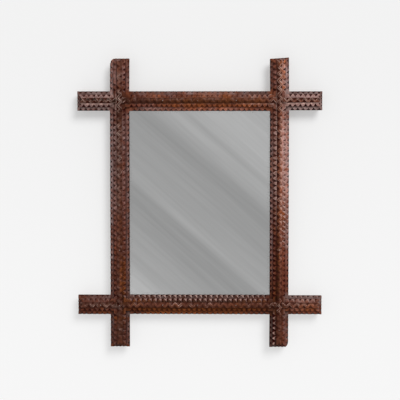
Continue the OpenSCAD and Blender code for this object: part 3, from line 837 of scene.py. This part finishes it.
def brad_places():
    """The tops of the layer brads, each on its solid's own middle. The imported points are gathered
    in small cells of the face, and the means of cells that lie near each other are joined."""
    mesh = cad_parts["layer_brads"].data
    packed = np.empty(len(mesh.vertices) * 3, np.float32)
    mesh.vertices.foreach_get("co", packed)
    packed = packed.reshape(-1, 3)[:, [0, 2]].astype(float)
    _, group = np.unique(np.round(packed / BRAD_CELL), axis=0, return_inverse=True)
    group = group.reshape(-1)
    total = np.bincount(group)
    means = np.stack([np.bincount(group, packed[:, k]) / total for k in (0, 1)], 1)
    near = np.linalg.norm(means[:, None] - means[None], axis=-1) < BRAD_NEAR
    joined = (near @ (means * total[:, None])) / (near @ total)[:, None]
    x, z = np.unique(np.round(joined, 4), axis=0).T
    return np.stack([x, np.full(len(x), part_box("layer_brads")[0].y), z], 1)


iron = old_metal("brad_iron_dark", (0.32, 0.29, 0.27), (0.07, 0.045, 0.035), 0.34, 0.1)
brads = make_piece("layer_brad_heads", *turned_brads(brad_places(), BRAD_PROFILE), iron)
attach(brads, "frame")
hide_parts("layer_brads")

# ---------------------------------------------------------------- finishes of the other pieces
ALONG_X, ALONG_Z = 0, 2
RAW_PALE, RAW_DARK, RAW_STAIN = (0.34, 0.21, 0.12), (0.17, 0.092, 0.05), (0.085, 0.036, 0.024)
finishes = {
    "back_left_stile": plain_wood("back_wood_upright", RAW_PALE, RAW_DARK, ALONG_Z, RAW_STAIN),
    "back_top_rail": plain_wood("back_wood_level", RAW_PALE, RAW_DARK, ALONG_X, RAW_STAIN),
    "backboard": plain_wood("board_wood_pine", (0.48, 0.33, 0.19), (0.30, 0.18, 0.09), ALONG_Z),
    "backboard_brads": iron,
    "hanger_strap": old_metal("strap_brass_old", (0.62, 0.44, 0.18), (0.16, 0.105, 0.05),
                              0.3, -0.02),
    "hanging_ring": old_metal("ring_brass_old", (0.68, 0.49, 0.21), (0.19, 0.125, 0.06),
                              0.24, -0.08),
    "hanger_screws": old_metal("screw_iron_old", (0.42, 0.40, 0.38), (0.10, 0.07, 0.05),
                               0.32, 0.0),
    "mirror_glass": silvered_glass("mirror_silvered", *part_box("mirror_glass")),
}
finishes["back_right_stile"] = finishes["back_left_stile"]
finishes["back_bottom_rail"] = finishes["back_top_rail"]
for node, material in finishes.items():
    for mesh_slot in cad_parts[node].material_slots:
        mesh_slot.material = material

# ---------------------------------------------------------------- wall, light and camera
# Metres from here on.
FRAME_MIDDLE = Vector((0.0, -0.0178, MIDDLE_Z / 1000))
WALL_REACH, WALL_Y = 6.0, 0.0026      # the wall stands just behind the hanger
# The wall's grey at two heights. The share of glow in its paint, at the lower of two heights, and
# how much less at the upper: the more glow, the lighter a shadow shows.
WALL_GREYS, WALL_HEIGHTS = (0.925, 0.89), (-0.62, 0.2)
GLOW_LOW, GLOW_FALL, GLOW_HEIGHTS = 0.56, 0.18, (-0.45, 0.0)


def wall_plane(name, reach, y):
    """A flat square, a plain grid of four faces, facing the viewer. Its front is pale paint, a part
    of it glowing; from behind it can't be seen."""
    a = np.linspace(-reach, reach, 3)
    x, z = np.meshgrid(a, a, indexing="ij")
    points = np.stack([x.ravel(), np.full(9, y), z.ravel() + FRAME_MIDDLE.z], 1)
    i, j = np.meshgrid(np.arange(2), np.arange(2), indexing="ij")
    here, after = i * 3 + j, (i + 1) * 3 + j
    faces = np.stack([here, after, after + 1, here + 1], -1).reshape(-1, 4)
    f = new_finish("wall_pale")
    level, = f.parts(f.place(), 2)
    colour = f.mix(f.ramp(level, *WALL_HEIGHTS), *((grey, grey, grey) for grey in WALL_GREYS))
    paint = f.node("ShaderNodeBsdfDiffuse", {}, {"Color": colour})
    glow = f.node("ShaderNodeEmission", {}, {"Color": colour, "Strength": 1.0})
    share = GLOW_LOW - f.ramp(level, *GLOW_HEIGHTS) * GLOW_FALL
    front = f.node("ShaderNodeMixShader", {}, {0: share, 1: paint, 2: glow})
    behind = f.node("ShaderNodeNewGeometry", output="Backfacing")
    clear = f.node("ShaderNodeBsdfTransparent")
    f.end(f.node("ShaderNodeMixShader", {}, {0: behind, 1: front, 2: clear}))
    return make_piece(name, points, faces, f.owner)


wall = wall_plane("wall", WALL_REACH, WALL_Y)
wall.visible_diffuse = False
wall.visible_shadow = False

# What the mirror shows: slanting grey bands with fine streaks along them. A direction's place
# across the bands is its x plus a slope times its z plus a shift; the tones begin at minus the
# offset and run over the span.
BAND_SLOPE, BAND_SHIFT = 1.15, 0.0757
BAND_OFFSET, BAND_SPAN = 0.146, 0.2857
BAND_TONES = [(0.0, 0.50), (0.09, 0.40), (0.18, 0.38), (0.30, 0.32), (0.36, 0.33), (0.38, 0.39),
              (0.65, 0.32), (0.69, 0.37), (0.74, 0.43), (0.77, 0.38), (0.82, 0.45), (0.87, 0.46),
              (1.0, 0.43)]
STREAK_DARK, STREAK_RANGE, STREAK_DRAW = 0.775, 0.45, 0.06
ROOM_GREY, BACKDROP_GREY = (0.54, 0.54, 0.54), (0.92, 0.92, 0.92)

world = bpy.data.worlds.new("studio")
scene.world = world
w = Finish(world)
ray = {k: w.node("ShaderNodeLightPath", output=f"Is {k} Ray") for k in ("Camera", "Glossy")}
look_x, look_z = w.parts(w.node("ShaderNodeTexCoord", output="Generated"), 0, 2)
slant = look_x + look_z * BAND_SLOPE + BAND_SHIFT
drawn = w.node("ShaderNodeCombineXYZ", {}, {0: slant, 1: look_x * STREAK_DRAW})
streaks = w.noise(drawn, 70.0, 2.0, 0.6) * 0.45 + w.noise(drawn, 330.0, 2.0, 0.5) * 0.55
bands = w.node("ShaderNodeValToRGB",
               {"easing": "LINEAR", "stops": [(p, (t, t, t)) for p, t in BAND_TONES]},
               {0: (slant + BAND_OFFSET) / BAND_SPAN})
bands = w.mix(1.0, bands, w.grey(STREAK_DARK + streaks * STREAK_RANGE), "MULTIPLY")
sky = w.mix(ray["Glossy"], ROOM_GREY, bands)
sky = w.mix(ray["Camera"], sky, BACKDROP_GREY)
w.end(w.node("ShaderNodeBackground", {}, {"Color": sky, "Strength": 1.0}), "ShaderNodeOutputWorld")


def sun(name, towards, strength, angle):
    """A far lamp that lies in the given direction from the object; its breadth is in degrees."""
    lamp = bpy.data.lights.new(name, "SUN")
    lamp.energy, lamp.angle = strength, math.radians(angle)
    holder = bpy.data.objects.new(name, lamp)
    holder.rotation_euler = Vector(towards).to_track_quat("Z", "Y").to_euler()
    scene.collection.objects.link(holder)


sun("key_lamp", (0.38, -0.73, 0.57), 2.0, 28)
sun("back_lamp", (-0.3, 0.8, 0.5), 1.3, 40)

DISTANCE, RISE, TURN = 2.3, math.radians(2.9), math.radians(1.0)
SENSOR, SEEN_WIDTH = 36.0, 0.801      # millimetres of sensor, and metres seen across at the frame
aim = FRAME_MIDDLE + Vector((0.0011, 0.0, 0.0061))
away = Vector((math.sin(TURN) * math.cos(RISE), -math.cos(TURN) * math.cos(RISE), math.sin(RISE)))
lens = bpy.data.cameras.new("camera")
lens.sensor_width, lens.lens = SENSOR, SENSOR * DISTANCE / SEEN_WIDTH
lens.clip_start, lens.clip_end = 0.05, 50.0
camera = bpy.data.objects.new("camera", lens)
camera.location = aim + away * DISTANCE
camera.rotation_euler = (-away).to_track_quat("-Z", "Y").to_euler()
scene.collection.objects.link(camera)
scene.camera = camera
